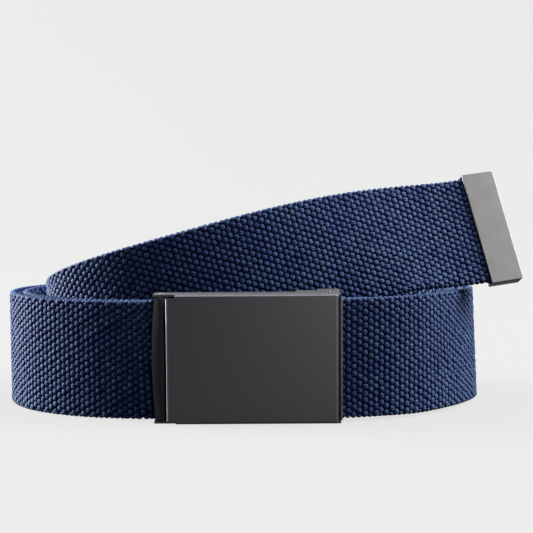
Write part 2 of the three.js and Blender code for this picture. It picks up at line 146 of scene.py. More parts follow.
FREE_END = [
    FreeRow(-40, 85.2, 20.3, 0),
    FreeRow(-59, 77.9, 20.6, 0),
    FreeRow(-72, 67.4, 21.1, 0),
    FreeRow(-78, 52.2, 22.4, -1),
    FreeRow(-74.4, 34.8, 26.2, 0.5),
    FreeRow(-58, 21, 33.1, 0),
    FreeRow(-31, 16.2, 41.3, 0.6),
    FreeRow(-1, 19.6, 49.2, 6.5),
    FreeRow(25, 27, 55, 18),
    FreeRow(47, 33.8, 58.7, 27),
    FreeRow(62, 38.2, 59.7, 26),
    FreeRow(74.3, 41.2, 61, 25),
]
print("route rows:", len(OUTER_TURN), "outer,", len(FREE_END), "free end")

# %% A natural spline through rows of numbers
def natural_spline(rows):
    """Knots, and a function of many parameters at once, of the smooth curve through the rows."""
    rows = np.array(rows, float)
    steps = np.sqrt(np.hypot(*np.diff(rows[:, :2], axis=0).T))
    knots = np.concatenate([[0], np.cumsum(steps)])
    system = np.eye(len(rows))
    right = np.zeros_like(rows)
    for i in range(1, len(rows) - 1):
        before, after = steps[i - 1], steps[i]
        system[i, i - 1 : i + 2] = before, 2 * (before + after), after
        right[i] = 6 * ((rows[i + 1] - rows[i]) / after - (rows[i] - rows[i - 1]) / before)
    bends = np.linalg.solve(system, right)

    def sample(parameters):
        i = np.clip(np.searchsorted(knots, parameters, side="right") - 1, 0, len(steps) - 1)
        span = steps[i][:, None]
        a = (knots[i + 1] - parameters)[:, None]
        b = (parameters - knots[i])[:, None]
        cubic = (bends[i] * a**3 + bends[i + 1] * b**3) / (6 * span)
        start = (rows[i] / span - bends[i] * span / 6) * a
        end = (rows[i + 1] / span - bends[i + 1] * span / 6) * b
        return cubic + start + end

    return knots, sample


# %% The whole route, row by row
STRAP_WIDTH = 40
NEARBY = 1e-3


def inner_row(row, inwards, inset, mid):
    x, y = np.array([row.x, row.y]) + inwards * inset
    return x, y, mid, row.lean


def route_rows():
    outer = [row[:4] for row in OUTER_TURN]
    knots, sample = natural_spline(outer)
    ahead = sample(np.minimum(knots + NEARBY, knots[-1])) - sample(np.maximum(knots - NEARBY, 0))
    ahead = ahead[:, :2] / np.linalg.norm(ahead[:, :2], axis=1)[:, None]
    inwards = np.column_stack([-ahead[:, 1], ahead[:, 0]])
    turned = list(zip(OUTER_TURN, inwards))[1:]
    second = [inner_row(row, way, row.second, row.second_mid) for row, way in turned]
    third = [inner_row(row, way, row.third, STRAP_WIDTH / 2) for row, way in turned[:THIRD_TURN_ROWS]]
    return [*outer, *second, *third, *FREE_END]


route = route_rows()
print("rows in the whole route:", len(route))

# %% [markdown]
# A strap needs more than a line to follow: at each place it needs the way along, the way across its width
# and the way out of its outer face. They are worked out once, at many places, and looked up by length.

# %% Places along the strap
SAMPLES = 6000
TIP_INSIDE = 10.4


def unit(vectors):
    return vectors / np.linalg.norm(vectors, axis=1)[:, None]


def strap_places():
    knots, sample = natural_spline(route)
    parameters = np.linspace(0, knots[-1], SAMPLES)
    x, y, mid, lean = sample(parameters).T
    centre = np.column_stack([x, y, np.maximum(mid, STRAP_WIDTH / 2)])
    along = unit(np.gradient(centre, axis=0))
    centre = np.vstack([centre, centre[-1] + along[-1] * TIP_INSIDE])
    along = np.vstack([along, along[-1]])
    lean = np.radians(np.append(lean, lean[-1]))[:, None]
    side = unit(np.cross(along, [0, 0, 1]))
    across = np.cross(side, along) * np.cos(lean) - side * np.sin(lean)
    out = np.cross(along, across)
    length = np.concatenate([[0], np.cumsum(np.linalg.norm(np.diff(centre, axis=0), axis=1))])
    row_length = np.interp(knots, parameters, length[:-1])
    return centre, along, across, out, length, row_length


centre, along, across, out, length, row_length = strap_places()
STRAP_LENGTH = float(length[-1])


def look_up(values, lengths):
    return np.column_stack([np.interp(lengths, length, column) for column in values.T])


print("strap length in mm:", round(STRAP_LENGTH, 1))

# %% [markdown]
# ## The woven elastic
# The real web is a plain weave: fat navy warp yarns run along the strap and dive under a thin weft at every
# second pick, and the ends beside them dive at the picks between. What shows is a chequer of plump grains
# with dark pits at their corners. A bump texture alone keeps the outline flat, and a fully modelled weave
# would need tens of millions of faces. So each grain is a low dome of a few dozen faces, laid out by
# Geometry Nodes along the strap, on a dark core that shows only in the pits and carries painted shade in its
# low places. A dome is a ball with its corners filled out, by raising its coordinates to a power below 1,
# the plumpness.

# %% Sizes of the weave, in mm
PICK_SPACING = 1.88
END_SPACING = 1.13
GRAINS_PER_PICK = 17
GRAIN_LENGTH = 2.3
GRAIN_WIDTH = 2.33
GRAIN_DEPTH = 0.88
GRAIN_SEAT = 0.38
GRAIN_PLUMPNESS = 0.74
GRAIN_SLANT = math.radians(14)
CORE_HALF_THICKNESS = 0.62
BARE_HALF_THICKNESS = 1.16
print("grains in 10 mm of strap, one face:", round(GRAINS_PER_PICK * 10 / PICK_SPACING))

# %% Small helpers for node trees
def add(tree, kind, **settings):
    """A new node. Its properties are set first, and then its inputs, by name or by number."""
    node = tree.nodes.new(kind)
    inputs = settings.pop("inputs", {})
    for name, value in settings.items():
        setattr(node, name, value)
    for name, value in inputs.items():
        if isinstance(value, bpy.types.NodeSocket):
            tree.links.new(value, node.inputs[name])
        else:
            node.inputs[name].default_value = value
    return node


def calculate(tree, operation, *values):
    node = add(tree, "ShaderNodeMath", operation=operation, inputs=dict(enumerate(values)))
    return node.outputs[0]


def on_vectors(tree, operation, *vectors):
    node = add(tree, "ShaderNodeVectorMath", operation=operation, inputs=dict(enumerate(vectors)))
    return node.outputs[0]


def scaled(tree, vector, factor):
    node = add(tree, "ShaderNodeVectorMath", operation="SCALE", inputs={0: vector, "Scale": factor})
    return node.outputs[0]


def parts_of(tree, vector):
    return add(tree, "ShaderNodeSeparateXYZ", inputs={0: vector}).outputs


def vector_of(tree, *parts):
    return add(tree, "ShaderNodeCombineXYZ", inputs=dict(enumerate(parts))).outputs[0]


# %% Helpers for materials
# A Mix node has sockets of the same name for numbers, vectors and colours. These are the colour ones.
MIX_SHARE, MIX_FIRST, MIX_SECOND, MIX_RESULT = 0, 6, 7, 2


def new_material(name):
    material = bpy.data.materials.new(name)
    material.use_nodes = True
    tree = material.node_tree
    return material, tree, tree.nodes["Principled BSDF"]


def set_shader(shader, values):
    for name, value in values.items():
        shader.inputs[name].default_value = value


def object_place(tree):
    return add(tree, "ShaderNodeTexCoord").outputs["Object"]


def noise(tree, where, scale, detail):
    node = add(tree, "ShaderNodeTexNoise", inputs={"Vector": where, "Scale": scale, "Detail": detail})
    return node.outputs["Fac"]


def between(tree, share, first, second):
    """The first colour where the share is 0, and the second where it is 1."""
    inputs = {MIX_SHARE: share, MIX_FIRST: first, MIX_SECOND: second}
    return add(tree, "ShaderNodeMix", data_type="RGBA", inputs=inputs).outputs[MIX_RESULT]


def raise_bumps(tree, shader, height, distance_mm, strength=1.0):
    inputs = {"Height": height, "Distance": distance_mm * MM, "Strength": strength}
    bump = add(tree, "ShaderNodeBump", inputs=inputs)
    tree.links.new(bump.outputs["Normal"], shader.inputs["Normal"])


# %% [markdown]
# ## Yarn
# The yarn is soft matt polyester. Its fibres scatter light at a glancing angle, which turns the navy a
# greyer blue where the strap bends away, and Principled sheen does that. Hardly any light gets down between
# the grains, so each grain has painted shade: a deep, dark blue at its foot, and its own lighter colour on
# its crown. Each grain keeps its unbent shape in the attribute `fibre`, whose z says how high on the grain
# a place is. Noise drawn out along `fibre` stands for the filaments, and the attribute `tint` makes one grain
# a little lighter than the next. The loops of the selvedge show their sides, so their painted shade keeps to
# the very foot.

# %% Colours and sizes of the yarn
NAVY = (0.0012, 0.0044, 0.058, 1)
NAVY_LIGHT = (0.043, 0.074, 0.116, 1)
PAINTED_PIT_SHADE = (0.0007, 0.0028, 0.048, 1)
PAINTED_CORE_SHADE = (0.0006, 0.0022, 0.030, 1)
SHEEN_BLUE = (0.60, 0.82, 1.0, 1)
PATCHES_IN_A_METRE = 90.0
PATCH_DETAIL = 2.0
FILAMENT_STRETCH = (0.4, 3.6, 3.6)
FILAMENT_DETAIL = 3.0
FILAMENT_HEIGHT = 0.26
FILAMENT_STRENGTH = 0.9
JUMP_BETWEEN_GRAINS = 60.0
PATCH_SHARE = 0.5
FILAMENT_SHARE = 1.9
TINT_SHARE = 0.15
DARKEST_MOTTLE = 0.78
print("navy from", PAINTED_PIT_SHADE[:3], "to", NAVY_LIGHT[:3])

# %% Yarn material
YARN_FINISH = {
    "Roughness": 0.58,
    "Specular IOR Level": 0.1,
    "Sheen Weight": 0.06,
    "Sheen Roughness": 0.4,
    "Sheen Tint": SHEEN_BLUE,
}


def filament_noise(tree, fibre, tint):
    """Streaks along a grain, which are other ones on the next grain."""
    streaks = on_vectors(tree, "MULTIPLY", fibre, FILAMENT_STRETCH)
    jump = vector_of(tree, calculate(tree, "MULTIPLY", tint, JUMP_BETWEEN_GRAINS))
    return noise(tree, on_vectors(tree, "ADD", streaks, jump), 1.0, FILAMENT_DETAIL)


def crown_colour(tree, filaments, tint):
    patches = noise(tree, object_place(tree), PATCHES_IN_A_METRE, PATCH_DETAIL)
    streaks = calculate(tree, "MULTIPLY", filaments, FILAMENT_SHARE)
    mottle = calculate(tree, "MULTIPLY_ADD", patches, PATCH_SHARE, streaks)
    above_darkest = calculate(tree, "SUBTRACT", mottle, DARKEST_MOTTLE)
    share = calculate(tree, "MULTIPLY_ADD", tint, TINT_SHARE, above_darkest)
    return between(tree, share, NAVY, NAVY_LIGHT)


def yarn_material(name, pit_height, crown_height):
    """Woven yarn with painted shade below one height of its grain, none above the other. A grain's top is at
    1.
    """
    material, tree, shader = new_material(name)
    tint = add(tree, "ShaderNodeAttribute", attribute_name="tint").outputs["Fac"]
    fibre = add(tree, "ShaderNodeAttribute", attribute_name="fibre").outputs["Vector"]
    filaments = filament_noise(tree, fibre, tint)
    heights = {"Value": parts_of(tree, fibre)["Z"], "From Min": pit_height, "From Max": crown_height}
    # Painted shade: from crown_height down to pit_height a grain darkens to the dark pit colour; above
    # crown_height it keeps its own colour.
    crown = add(tree, "ShaderNodeMapRange", interpolation_type="SMOOTHSTEP", inputs=heights).outputs[0]
    colour = between(tree, crown, PAINTED_PIT_SHADE, crown_colour(tree, filaments, tint))
    tree.links.new(colour, shader.inputs["Base Color"])
    raise_bumps(tree, shader, filaments, FILAMENT_HEIGHT, FILAMENT_STRENGTH)
    set_shader(shader, YARN_FINISH)
    return material


yarn = yarn_material("navy_yarn", pit_height=0.25, crown_height=0.9)
selvedge_yarn = yarn_material("navy_selvedge_yarn", pit_height=-1.0, crown_height=0.2)
print("materials:", yarn.name, selvedge_yarn.name)

# %% [markdown]
# The core under the grains shows in the pits, and by itself on faces that the next turn hides. It has a
# bump with the same chequer, worked out from the strap's own length and width, which its UV map holds. Its
# colour follows the chequer too: painted shade makes the low places a darker navy.

# %% Core material
CHEQUER_FULLNESS = 0.6
CHEQUER_HEIGHT = 0.6
CORE_ROUGHNESS = 0.85


def core_material():
    material, tree, shader = new_material("navy_core")
    picks_and_ends = parts_of(tree, add(tree, "ShaderNodeUVMap", uv_map="UVMap").outputs["UV"])
    turns = [calculate(tree, "MULTIPLY", picks_and_ends[name], math.pi) for name in "XY"]
    waves = [calculate(tree, "COSINE", turn) for turn in turns]
    chequer = calculate(tree, "MULTIPLY_ADD", calculate(tree, "MULTIPLY", *waves), 0.5, 0.5)
    height = calculate(tree, "POWER", chequer, CHEQUER_FULLNESS)
    # Painted shade: the chequer's low places are a darker navy.
    tree.links.new(between(tree, height, PAINTED_CORE_SHADE, NAVY), shader.inputs["Base Color"])
    raise_bumps(tree, shader, height, CHEQUER_HEIGHT)
    set_shader(shader, {"Roughness": CORE_ROUGHNESS})
    return material


core_finish = core_material()
print("material:", core_finish.name)

# %% [markdown]
# ## Where the weave shows
# The turns lie close against each other, and neither light nor a camera gets between them. So grains are
# laid only on the stretches whose face can be seen: the outer face of the outermost turn, the inner face of
# the innermost one, and both faces of the free end.

# %% Woven stretches, by length along the strap
Span = namedtuple("Span", "name side start end")
OUTER_FACE, INNER_FACE = 1, -1

SECOND_TURN = len(OUTER_TURN)
THIRD_TURN = SECOND_TURN + len(OUTER_TURN) - 1
CLAMP_ROW = 1
JAW_ROW = 18
REAR_LEFT_ROW = SECOND_TURN + 8
FRONT_ROW = THIRD_TURN - 1
LAST_ROW_OF_THIRD = THIRD_TURN + THIRD_TURN_ROWS - 1

UNDER_CLAMP = 1
BEHIND_JAW = 4
UNDER_TIP = 1
BEFORE_LEAVING = 10
AFTER_LEAVING = 30

leaves_clamp = row_length[CLAMP_ROW]
meets_jaw = row_length[JAW_ROW]
front_of_second = row_length[FRONT_ROW]
end_of_third = row_length[LAST_ROW_OF_THIRD]
leaves_coil = end_of_third + AFTER_LEAVING
tip_mouth = STRAP_LENGTH - TIP_INSIDE

WOVEN_SPANS = [
    Span("weave_outer_turn", OUTER_FACE, leaves_clamp - UNDER_CLAMP, meets_jaw + BEHIND_JAW),
    Span("weave_free_end_front", OUTER_FACE, end_of_third - BEFORE_LEAVING, tip_mouth + UNDER_TIP),
    Span("weave_inside_left", INNER_FACE, row_length[REAR_LEFT_ROW], front_of_second),
    Span("weave_inside_right", INNER_FACE, front_of_second, leaves_coil),
    Span("weave_free_end_back", INNER_FACE, leaves_coil, tip_mouth + UNDER_TIP),
]
print("woven stretches in mm:", [(round(span.start), round(span.end)) for span in WOVEN_SPANS])

# %% The core's thickness
SECTION_STEP = 2.0
SELVEDGE_IN = 0.7
SOFT_STEP = 6.0
CORE_OVERLAP = 3.0


def plateau(lengths, start, end):
    """1 between two lengths and 0 outside, with a soft step at each end."""
    rise = np.clip((lengths - start) / SOFT_STEP, 0, 1)
    fall = np.clip((end - lengths) / SOFT_STEP, 0, 1)
    return np.minimum(rise, fall)


def core_half_thickness(lengths, side):
    """Thin where grains cover the core, and as thick as the strap where they don't."""
    covered = np.zeros_like(lengths)
    for span in WOVEN_SPANS:
        if span.side == side:
            here = plateau(lengths, span.start - CORE_OVERLAP, span.end + CORE_OVERLAP)
            covered = np.maximum(covered, here)
    return BARE_HALF_THICKNESS + (CORE_HALF_THICKNESS - BARE_HALF_THICKNESS) * covered


# %% The core ribbon
STEPS_ACROSS = (-1, -0.93, -0.5, 0, 0.5, 0.93, 1)
RIM_THICKNESS = 0.45


def core_ribbon():
    lengths = np.linspace(0, STRAP_LENGTH, round(STRAP_LENGTH / SECTION_STEP) + 1)
    thick = {side: core_half_thickness(lengths, side) for side in (OUTER_FACE, INNER_FACE)}
    middle, wide, outward = (look_up(values, lengths) for values in (centre, across, out))
    half = STRAP_WIDTH / 2 - SELVEDGE_IN
    outline = [(OUTER_FACE, share) for share in STEPS_ACROSS]
    outline += [(INNER_FACE, share) for share in reversed(STEPS_ACROSS)]

    def corner(i, side, share):
        depth = thick[side][i] * (RIM_THICKNESS if abs(share) == 1 else 1)
        return place(*(middle[i] + outward[i] * side * depth + wide[i] * share * half))

    bm = bmesh.new()
    layer = bm.loops.layers.uv.new("UVMap")
    rings = [[bm.verts.new(corner(i, *spot)) for spot in outline] for i in range(len(lengths))]
    for i, (ring, ahead) in enumerate(zip(rings, rings[1:])):
        for j, (_, share) in enumerate(outline):
            k = (j + 1) % len(outline)
            other = outline[k][1]
            face = bm.faces.new((ring[j], ahead[j], ahead[k], ring[k]))
            spots = ((i, share), (i + 1, share), (i + 1, other), (i, other))
            for loop, (section, width) in zip(face.loops, spots):
                loop[layer].uv = (lengths[section] / PICK_SPACING, width * half / END_SPACING)
    bm.faces.new(rings[0])
    bm.faces.new(reversed(rings[-1]))
    bmesh.ops.recalc_face_normals(bm, faces=bm.faces)
    mesh = bpy.data.meshes.new("webbing_core")
    bm.to_mesh(mesh)
    bm.free()
    mesh.shade_smooth()
    mesh.materials.append(core_finish)
    return link(bpy.data.objects.new("webbing_core", mesh))


core = core_ribbon()
print("core faces:", len(core.data.polygons))

# %% [markdown]
# ## Grains by Geometry Nodes
# Each woven stretch gets a carrier: a line of points that know the way across and the way out. The node
# tree cuts the line into picks, copies each pick once for every second warp end, shifts the copies across
# the strap, and puts one dome on each. Its sizes are inputs with names, and its seed is fixed, so that the
# same strap comes out each time. Every grain gets a small jolt of its own, because no yarn lies quite even.

# %% A tree's named inputs
def tree_with_inputs(name, sockets):
    tree = bpy.data.node_groups.new(name, "GeometryNodeTree")
    tree.interface.new_socket("Geometry", in_out="INPUT", socket_type="NodeSocketGeometry")
    for label, kind, value in sockets:
        socket = tree.interface.new_socket(label, in_out="INPUT", socket_type="NodeSocket" + kind)
        if value is not None:
            socket.default_value = value
    tree.interface.new_socket("Geometry", in_out="OUTPUT", socket_type="NodeSocketGeometry")
    given = tree.nodes.new("NodeGroupInput").outputs
    result = tree.nodes.new("NodeGroupOutput").inputs["Geometry"]
    return tree, given, result


# %% Attributes on the points
def store(tree, geometry, name, value, **settings):
    inputs = {"Geometry": geometry, "Name": name, "Value": value}
    return add(tree, "GeometryNodeStoreNamedAttribute", inputs=inputs, **settings).outputs[0]


def stored(tree, name, kind="FLOAT"):
    node = add(tree, "GeometryNodeInputNamedAttribute", data_type=kind, inputs={"Name": name})
    return node.outputs["Attribute"]


def stored_ways(tree):
    """The way across the strap and the way out of its outer face, which the carrier gave each point."""
    return stored(tree, "across", "FLOAT_VECTOR"), stored(tree, "out", "FLOAT_VECTOR")


# %% One dome or bead
BALL_SEGMENTS = 8
BALL_RINGS = 6


def plumper(tree, position, power):
    """Each coordinate raised to a power below 1 with its sign kept, which fills a ball's corners out."""
    sizes = parts_of(tree, on_vectors(tree, "ABSOLUTE", position))
    raised = vector_of(tree, *[calculate(tree, "POWER", size, power) for size in sizes])
    return on_vectors(tree, "MULTIPLY", raised, on_vectors(tree, "SIGN", position))


def rounded_body(tree, given, keep_above):
    """A low ball of half axes 1, cut off below a height, which remembers where its fibres run."""
    sizes = {"Segments": BALL_SEGMENTS, "Rings": BALL_RINGS, "Radius": 1.0}
    ball = add(tree, "GeometryNodeMeshUVSphere", inputs=sizes).outputs["Mesh"]
    position = add(tree, "GeometryNodeInputPosition").outputs[0]
    low = calculate(tree, "LESS_THAN", parts_of(tree, position)["Z"], keep_above)
    cut = add(tree, "GeometryNodeDeleteGeometry", inputs={"Geometry": ball, "Selection": low})
    marked = store(tree, cut.outputs[0], "fibre", position, data_type="FLOAT_VECTOR")
    plump = {"Geometry": marked, "Position": plumper(tree, position, given["Plumpness"])}
    filled = add(tree, "GeometryNodeSetPosition", inputs=plump)
    size = vector_of(tree, given["Half length"], given["Half width"], given["Depth"])
    shaped = add(tree, "GeometryNodeTransform", inputs={"Geometry": filled.outputs[0], "Scale": size})
    return add(tree, "GeometryNodeSetShadeSmooth", inputs={"Geometry": shaped.outputs[0]}).outputs[0]


# %% Random values, and what happens to every copy
# The numbers of a Random Value node's sockets: lowest, highest and result.
RANDOM_SOCKETS = {"FLOAT": (2, 3, 1), "FLOAT_VECTOR": (0, 1, 0)}


def random_between(tree, low, high, seed, kind="FLOAT_VECTOR"):
    low_socket, high_socket, result = RANDOM_SOCKETS[kind]
    inputs = {"Seed": seed, low_socket: low, high_socket: high}
    return add(tree, "FunctionNodeRandomValue", data_type=kind, inputs=inputs).outputs[result]


def finish_copies(tree, given, copies, result):
    tint = random_between(tree, 0.0, 1.0, given["Seed"], "FLOAT")
    tinted = store(tree, copies, "tint", tint, domain="INSTANCE")
    real = add(tree, "GeometryNodeRealizeInstances", inputs={"Geometry": tinted}).outputs[0]
    inputs = {"Geometry": real, "Material": given["Material"]}
    tree.links.new(add(tree, "GeometryNodeSetMaterial", inputs=inputs).outputs[0], result)


# %% Picks along a carrier
def picks(tree, given):
    curve = add(tree, "GeometryNodeMeshToCurve", inputs={"Mesh": given["Geometry"]}).outputs[0]
    spacing = {"Curve": curve, "Length": given["Pick spacing"]}
    even = add(tree, "GeometryNodeResampleCurve", mode="LENGTH", inputs=spacing).outputs[0]
    points = add(tree, "GeometryNodeCurveToPoints", mode="EVALUATED", inputs={"Curve": even})
    index = add(tree, "GeometryNodeInputIndex").outputs[0]
    return store(tree, points.outputs["Points"], "pick", index, data_type="FLOAT")


def copies_of_picks(tree, given, amount):
    inputs = {"Geometry": picks(tree, given), "Amount": amount}
    doubled = add(tree, "GeometryNodeDuplicateElements", domain="POINT", inputs=inputs)
    return doubled.outputs["Geometry"], doubled.outputs["Duplicate Index"]


# %% The turn of one copy
def turned_with_strap(tree, given, slant, wobble):
    """The turn that lays a copy on the strap's face, long axis slanted a little from the strap's length."""
    wide, outward = stored_ways(tree)
    ahead = scaled(tree, on_vectors(tree, "CROSS_PRODUCT", wide, outward), calculate(tree, "COSINE", slant))
    aside = scaled(tree, wide, calculate(tree, "MULTIPLY", calculate(tree, "SINE", slant), given["Side"]))
    axes = {0: scaled(tree, outward, given["Side"]), 1: on_vectors(tree, "SUBTRACT", ahead, aside)}
    laid = add(tree, "FunctionNodeAxesToRotation", primary_axis="Z", secondary_axis="X", inputs=axes)
    angles = random_between(tree, [-angle for angle in wobble], wobble, given["Seed"])
    jolt = add(tree, "FunctionNodeEulerToRotation", inputs={0: angles})
    both = {0: laid.outputs[0], 1: jolt.outputs[0]}
    return add(tree, "FunctionNodeRotateRotation", rotation_space="LOCAL", inputs=both).outputs[0]


# %% The tree of the grains
GRAIN_PLAY = 0.1
GRAIN_FOOT = -0.1
GRAIN_WOBBLE = (0.08, 0.08, 0.2)
GRAIN_SMALLEST = (0.94, 0.93, 0.93)
GRAIN_LARGEST = (1.06, 1.05, 1.05)
GRAIN_INPUTS = [
    ("Pick spacing", "Float", PICK_SPACING * MM),
    ("End spacing", "Float", END_SPACING * MM),
    ("Grains in a pick", "Int", GRAINS_PER_PICK),
    ("Half length", "Float", GRAIN_LENGTH / 2 * MM),
    ("Half width", "Float", GRAIN_WIDTH / 2 * MM),
    ("Depth", "Float", GRAIN_DEPTH * MM),
    ("Seat", "Float", GRAIN_SEAT * MM),
    ("Plumpness", "Float", GRAIN_PLUMPNESS),
    ("Slant", "Float", GRAIN_SLANT),
    ("Side", "Float", 1.0),
    ("First pick", "Float", 0.0),
    ("Seed", "Int", 1),
    ("Material", "Material", None),
]


def grain_places(tree, given):
    """One point for each grain: odd picks use the odd warp ends, and even picks the even ones."""
    points, copy_number = copies_of_picks(tree, given, given["Grains in a pick"])
    pick = calculate(tree, "ADD", stored(tree, "pick"), given["First pick"])
    odd = calculate(tree, "FLOORED_MODULO", pick, 2.0)
    end = calculate(tree, "MULTIPLY_ADD", copy_number, 2.0, odd)
    middle = calculate(tree, "SUBTRACT", given["Grains in a pick"], 0.5)
    from_middle = calculate(tree, "SUBTRACT", end, middle)
    wide, outward = stored_ways(tree)
    shift = scaled(tree, wide, calculate(tree, "MULTIPLY", from_middle, given["End spacing"]))
    lift = scaled(tree, outward, calculate(tree, "MULTIPLY", given["Seat"], given["Side"]))
    play = random_between(tree, [-GRAIN_PLAY * MM] * 3, [GRAIN_PLAY * MM] * 3, given["Seed"])
    offset = on_vectors(tree, "ADD", on_vectors(tree, "ADD", shift, lift), play)
    return add(tree, "GeometryNodeSetPosition", inputs={"Geometry": points, "Offset": offset}).outputs[0]


def grain_tree():
    tree, given, result = tree_with_inputs("woven_grains", GRAIN_INPUTS)
    copies = add(
        tree, "GeometryNodeInstanceOnPoints",
        inputs={
            "Points": grain_places(tree, given),
            "Instance": rounded_body(tree, given, GRAIN_FOOT),
            "Rotation": turned_with_strap(tree, given, given["Slant"], GRAIN_WOBBLE),
            "Scale": random_between(tree, GRAIN_SMALLEST, GRAIN_LARGEST, given["Seed"]),
        },
    )
    finish_copies(tree, given, copies.outputs[0], result)
    return tree


grains = grain_tree()
print("tree:", grains.name, "with", len(grains.nodes), "nodes")

# %% A carrier line for one stretch of the strap
STEPS_IN_A_PICK = 2


def carrier(name, first_pick, last_pick):
    steps = STEPS_IN_A_PICK * (last_pick - first_pick)
    lengths = np.linspace(first_pick * PICK_SPACING, last_pick * PICK_SPACING, steps + 1)
    mesh = bpy.data.meshes.new(name)
    points = [place(*point) for point in look_up(centre, lengths)]
    mesh.from_pydata(points, [(i, i + 1) for i in range(steps)], [])
    for label, values in (("across", across), ("out", out)):
        attribute = mesh.attributes.new(label, "FLOAT_VECTOR", "POINT")
        attribute.data.foreach_set("vector", unit(look_up(values, lengths)).ravel())
    return mesh


# %% Run a tree and keep the plain mesh
def grow(name, line, tree, values):
    carried = link(bpy.data.objects.new(name + "_line", line))
    modifier = carried.modifiers.new("grow", "NODES")
    modifier.node_group = tree
    for item in tree.interface.items_tree:
        if item.item_type == "SOCKET" and item.in_out == "INPUT" and item.name in values:
            modifier[item.identifier] = values[item.name]
    evaluated = carried.evaluated_get(bpy.context.evaluated_depsgraph_get())
    mesh = bpy.data.meshes.new_from_object(evaluated)
    mesh.name = name
    bpy.data.objects.remove(carried)
    return link(bpy.data.objects.new(name, mesh))


def triangles(piece):
    return sum(len(face.vertices) - 2 for face in piece.data.polygons)


weave = []
for number, span in enumerate(WOVEN_SPANS):
    first = math.ceil(span.start / PICK_SPACING)
    last = math.floor(span.end / PICK_SPACING)
    values = {"Side": float(span.side), "First pick": float(first), "Seed": number + 1, "Material": yarn}
    piece = grow(span.name, carrier(span.name, first, last), grains, values)
    weave.append(piece)
    print(span.name, "picks", last - first + 1, "triangles", triangles(piece))

# %% [markdown]
# ## Selvedges
# At each edge the weft loops back round the outermost warp end, once a pick. The loops make the fine
# scallops on the belt's rim. They are beads that wrap the edge from face to face, one for each pick and
# edge, made by a second tree on a carrier as long as the whole strap.

# %% The tree of the selvedge loops, with sizes in mm
LOOP_LENGTH = 2.0
LOOP_THICKNESS = 2.36
LOOP_REACH = 1.5
LOOP_WOBBLE = (0.02, 0.22, 0.1)
LOOP_SMALLEST = (0.95, 0.94, 0.95)
LOOP_LARGEST = (1.05, 1.0, 1.0)
WHOLE_BEAD = -2.0
LOOP_INPUTS = [
    ("Pick spacing", "Float", PICK_SPACING * MM),
    ("Half width", "Float", LOOP_REACH / 2 * MM),
    ("Half length", "Float", LOOP_LENGTH / 2 * MM),
    ("Depth", "Float", LOOP_THICKNESS / 2 * MM),
    ("Plumpness", "Float", 1.0),
    ("From middle", "Float", (STRAP_WIDTH / 2 - LOOP_REACH / 2) * MM),
    ("Side", "Float", 1.0),
    ("Seed", "Int", 11),
    ("Material", "Material", None),
]


def loop_places(tree, given):
    """Two points for each pick, one at each edge of the strap."""
    points, copy_number = copies_of_picks(tree, given, 2)
    edge = calculate(tree, "MULTIPLY_ADD", copy_number, 2.0, -1.0)
    wide = stored(tree, "across", "FLOAT_VECTOR")
    shift = scaled(tree, wide, calculate(tree, "MULTIPLY", edge, given["From middle"]))
    return add(tree, "GeometryNodeSetPosition", inputs={"Geometry": points, "Offset": shift}).outputs[0]


def selvedge_tree():
    tree, given, result = tree_with_inputs("selvedge_loops", LOOP_INPUTS)
    copies = add(
        tree, "GeometryNodeInstanceOnPoints",
        inputs={
            "Points": loop_places(tree, given),
            "Instance": rounded_body(tree, given, WHOLE_BEAD),
            "Rotation": turned_with_strap(tree, given, 0.0, LOOP_WOBBLE),
            "Scale": random_between(tree, LOOP_SMALLEST, LOOP_LARGEST, given["Seed"]),
        },
    )
    finish_copies(tree, given, copies.outputs[0], result)
    return tree


last_pick = math.floor((STRAP_LENGTH - 1) / PICK_SPACING)
selvedge_line = carrier("selvedge_loops", 1, last_pick)
selvedge = grow("selvedge_loops", selvedge_line, selvedge_tree(), {"Material": selvedge_yarn})
print("selvedge triangles:", triangles(selvedge))

# %% [markdown]
# ## The webbing on the belt
# The core, the grains and the loops together stand for the imported ribbon, so the ribbon is hidden and they
# ride in its place. The web was woven flat, as wide as the strap and as long as the route, and lies folded
# on the floor now.

# %% The webbing's pieces ride on the belt
webbing = [core, *weave, selvedge]
for piece in webbing:
    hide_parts("webbing")
    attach(piece, "belt")
print("webbing triangles:", sum(triangles(piece) for piece in webbing))

# %% [markdown]
# ## Hard pieces
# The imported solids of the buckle, the tip and the pins have the right shapes but knife-sharp edges. Pressed
# sheet always has a small round on its edges, and that round is what catches the light. So each solid is
# copied, its flat faces are joined again, and a narrow bevel goes round every edge. The plate's two upright
# edges and the clamp's front edge are rounder, so they are found by their places and eased more.

# %% Upright front edges that are eased more, in mm
PLATE_LEFT = -33
PLATE_RIGHT = 23.2
PLATE_LEFT_ROUND = 0.62
PLATE_RIGHT_ROUND = 0.55
CLAMP_RIGHT = 24.7
CLAMP_FRONT = 1
CLAMP_ROUND = 0.3
SHORTEST_UPRIGHT = 10
EDGE_TOLERANCE = 0.02


def upright_edge_at(x, y):
    """A test for the upright edge at a place of the drawing."""
    corner = place(x, y, 0)

    def test(edge):
        upright = abs(edge.verts[0].co.z - edge.verts[1].co.z) > SHORTEST_UPRIGHT * MM
        gaps = [max(abs(vertex.co.x - corner.x), abs(vertex.co.y - corner.y)) for vertex in edge.verts]
        return upright and max(gaps) < EDGE_TOLERANCE * MM

    return test


plate_edges = [
    (upright_edge_at(PLATE_LEFT, 0), PLATE_LEFT_ROUND),
    (upright_edge_at(PLATE_RIGHT, 0), PLATE_RIGHT_ROUND),
]
clamp_edge = [(upright_edge_at(CLAMP_RIGHT, CLAMP_FRONT), CLAMP_ROUND)]

# %% A cleaned copy of a solid's mesh
MERGE_DISTANCE = 0.001
FLAT_WITHIN = math.radians(0.5)
EASED_SEGMENTS = 3


